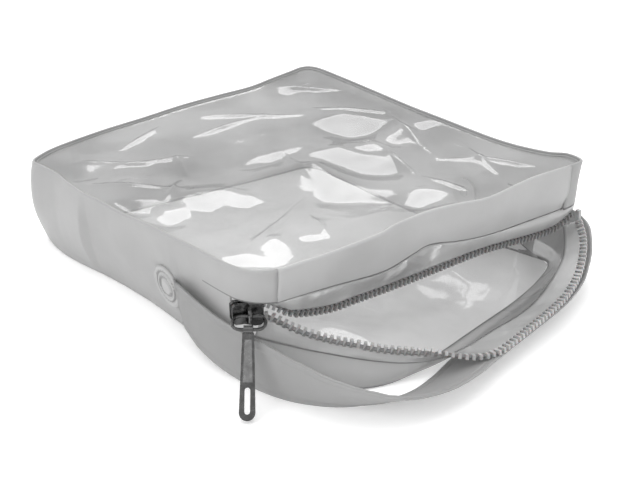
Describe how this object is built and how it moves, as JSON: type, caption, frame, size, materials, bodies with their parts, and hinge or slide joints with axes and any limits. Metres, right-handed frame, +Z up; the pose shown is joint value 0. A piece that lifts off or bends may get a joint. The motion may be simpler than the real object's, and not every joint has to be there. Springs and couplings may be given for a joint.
{
  "type": "shoe bag",
  "caption": "clear flat shoe pouch with a frosted side band, an open moulded-tooth zip along one side, a metal slider with a long pull, and a carrying strap riveted to both side walls",
  "frame": {"origin": "on the underside of the bottom panel, under the middle of the pouch, on the surface it lies on", "axes": "+X along the zip from the slider to the far stop, +Y away from the mouth towards the back wall, +Z up"},
  "size_m": [0.2536, 0.3085, 0.0741],
  "materials": {
    "clear_vinyl": "glossy clear soft vinyl sheet",
    "frosted_vinyl": "frosted translucent soft vinyl",
    "zip_tape": "smooth translucent vinyl tape",
    "moulded_teeth": "moulded plastic teeth on a cord",
    "nickel": "cast zinc plated with nickel",
    "button": "moulded plastic snap rivet"
  },
  "bodies": {
    "bag": {"side_band": "frosted_vinyl", "top_panel": "clear_vinyl", "bottom_panel": "clear_vinyl", "front_band_upper": "frosted_vinyl", "front_band_lower": "frosted_vinyl", "zip_tape_upper": "zip_tape", "zip_tape_lower": "zip_tape", "zip_chain_upper": "moulded_teeth", "zip_chain_lower": "moulded_teeth", "zip_stop_left": "moulded_teeth", "zip_stop_right": "moulded_teeth", "rivet_cap_left": "button", "rivet_back_left": "button", "rivet_cap_right": "button", "rivet_back_right": "button"},
    "slider": {"slider_body": "nickel", "slider_crown": "nickel"},
    "link": {"link_ring": "nickel"},
    "pull": {"pull_tab": "nickel"},
    "strap": {"strap_handle": "frosted_vinyl"}
  },
  "joints": [
    {"name": "slider_travel", "type": "slide", "parent": "bag", "child": "slider", "axis": [0.9983, -0.0589, 0], "range_m": [0, 0.2], "deforming": ["zip_chain_upper", "zip_chain_lower", "zip_tape_upper", "zip_tape_lower", "front_band_lower"]},
    {"name": "link_swing", "type": "hinge", "parent": "slider", "child": "link", "pos_m": [-0.10731, -0.10998, 0.0365], "axis": [-0.788, 0.6157, 0], "range_deg": [0, 60]},
    {"name": "pull_swing", "type": "hinge", "parent": "link", "child": "pull", "pos_m": [-0.11287, -0.11709, 0.03425], "axis": [-0.788, 0.6157, 0], "range_deg": [0, 70]},
    {"name": "handle_swing", "type": "hinge", "parent": "bag", "child": "strap", "pos_m": [0, -0.04, 0.0254], "axis": [-1, 0, 0], "range_deg": [0, 110], "deforming": ["strap_handle"]}
  ]
}
